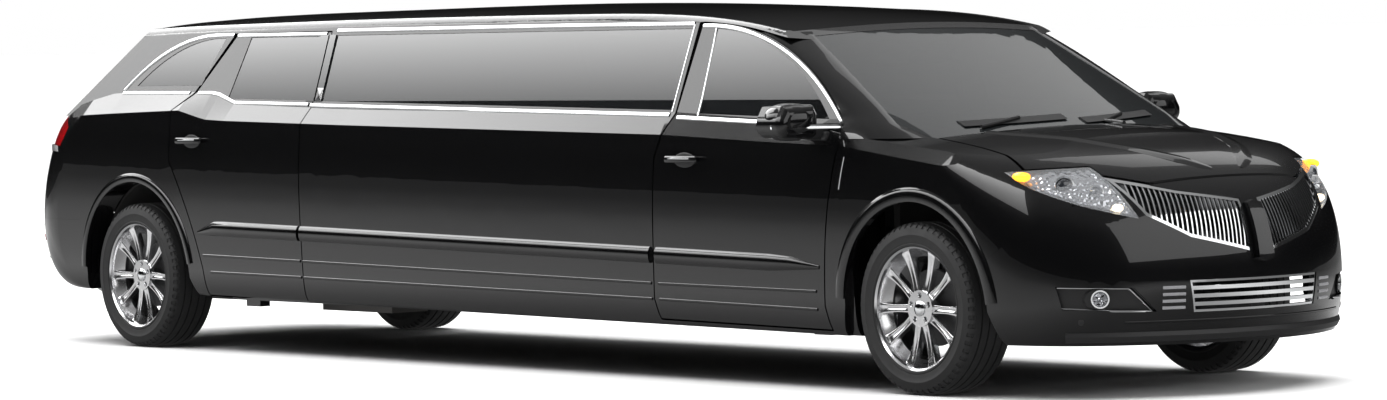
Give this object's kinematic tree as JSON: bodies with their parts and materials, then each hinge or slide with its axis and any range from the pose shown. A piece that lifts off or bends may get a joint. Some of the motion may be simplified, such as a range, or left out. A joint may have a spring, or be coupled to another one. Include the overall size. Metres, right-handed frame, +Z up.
{
  "type": "stretch limousine",
  "caption": "Long black crossover-style stretch limousine with opening doors, bonnet and tailgate, steered front wheels and rolling wheels.",
  "frame": {"origin": "on the ground under the middle of the car's bounding box", "axes": "+X to the front of the car, +Y to its left, +Z up"},
  "size_m": [8.4438, 2.401, 1.7048],
  "materials": {
    "body_paint": "gloss black clear coat",
    "bright_trim": "polished",
    "window_glass": "dark privacy tint",
    "tyre_rubber": "satin",
    "wheel_alloy": "polished",
    "lamp_lens": "clear",
    "lamp_red": "glossy",
    "black_plastic": "fine grain",
    "dark_metal": "painted dull",
    "cabin_leather": "soft black",
    "cabin_carpet": "short pile",
    "bare_steel": "dull"
  },
  "bodies": {
    "body": {"cowl": "black_plastic", "dashboard": "black_plastic", "engine_block": "dark_metal", "exhaust": "bare_steel", "fender_left": "body_paint", "fender_right": "body_paint", "floor_pan": "cabin_carpet", "fog_lamps": "black_plastic", "front_bumper": "body_paint", "front_seats": "cabin_leather", "front_subframe": "dark_metal", "grille": "bright_trim", "headlamps": "lamp_lens", "lounge_seats": "cabin_leather", "rear_bumper": "body_paint", "rear_subframe": "dark_metal", "roof_panel": "body_paint", "side_frame_left": "body_paint", "side_frame_right": "body_paint", "side_glass": "window_glass", "tail_lamps": "lamp_red", "windshield": "window_glass", "wipers": "black_plastic"},
    "wheel_front_left": {"tyre_front_left": "tyre_rubber", "rim_front_left": "wheel_alloy"},
    "wheel_front_right": {"tyre_front_right": "tyre_rubber", "rim_front_right": "wheel_alloy"},
    "wheel_rear_left": {"tyre_rear_left": "tyre_rubber", "rim_rear_left": "wheel_alloy"},
    "wheel_rear_right": {"tyre_rear_right": "tyre_rubber", "rim_rear_right": "wheel_alloy"},
    "knuckle_left": {"knuckle_left": "dark_metal"},
    "knuckle_right": {"knuckle_right": "dark_metal"},
    "door_front_left": {"door_front_left": "body_paint", "glass_front_left": "window_glass"},
    "door_front_right": {"door_front_right": "body_paint", "glass_front_right": "window_glass"},
    "door_rear_left": {"door_rear_left": "body_paint", "glass_rear_left": "window_glass"},
    "door_rear_right": {"door_rear_right": "body_paint", "glass_rear_right": "window_glass"},
    "hood": {"hood": "body_paint"},
    "tailgate": {"tailgate": "body_paint", "tailgate_lamp": "lamp_red", "rear_glass": "window_glass"}
  },
  "joints": [
    {"name": "steer_left", "type": "hinge", "parent": "body", "child": "knuckle_left", "pos_m": [3.059, 0.745, 0.3685], "axis": [0, 0, 1], "range_deg": [-34, 34]},
    {"name": "steer_right", "type": "hinge", "parent": "body", "child": "knuckle_right", "pos_m": [3.059, -0.745, 0.3685], "axis": [0, 0, 1], "range_deg": [-34, 34]},
    {"name": "spin_front_left", "type": "hinge", "parent": "knuckle_left", "child": "wheel_front_left", "pos_m": [3.059, 0.828, 0.3685], "axis": [0, 1, 0], "continuous": true},
    {"name": "spin_front_right", "type": "hinge", "parent": "knuckle_right", "child": "wheel_front_right", "pos_m": [3.059, -0.828, 0.3685], "axis": [0, 1, 0], "continuous": true},
    {"name": "spin_rear_left", "type": "hinge", "parent": "body", "child": "wheel_rear_left", "pos_m": [-2.984, 0.828, 0.3685], "axis": [0, 1, 0], "continuous": true},
    {"name": "spin_rear_right", "type": "hinge", "parent": "body", "child": "wheel_rear_right", "pos_m": [-2.984, -0.828, 0.3685], "axis": [0, 1, 0], "continuous": true},
    {"name": "hinge_door_front_left", "type": "hinge", "parent": "body", "child": "door_front_left", "pos_m": [2.585, 0.965, 0.8], "axis": [0, 0, -1], "range_deg": [0, 65]},
    {"name": "hinge_door_front_right", "type": "hinge", "parent": "body", "child": "door_front_right", "pos_m": [2.585, -0.965, 0.8], "axis": [0, 0, 1], "range_deg": [0, 65]},
    {"name": "hinge_door_rear_left", "type": "hinge", "parent": "body", "child": "door_rear_left", "pos_m": [-1.454, 0.965, 0.8], "axis": [0, 0, -1], "range_deg": [0, 65]},
    {"name": "hinge_door_rear_right", "type": "hinge", "parent": "body", "child": "door_rear_right", "pos_m": [-1.454, -0.965, 0.8], "axis": [0, 0, 1], "range_deg": [0, 65]},
    {"name": "hinge_hood", "type": "hinge", "parent": "body", "child": "hood", "pos_m": [2.974, 0, 1.127], "axis": [0, -1, 0], "range_deg": [0, 50]},
    {"name": "hinge_tailgate", "type": "hinge", "parent": "body", "child": "tailgate", "pos_m": [-3.199, 0, 1.652], "axis": [0, 1, 0], "range_deg": [0, 80]}
  ],
  "couplings": [
    {"joint": "steer_right", "follows": "steer_left", "ratio": 1}
  ]
}
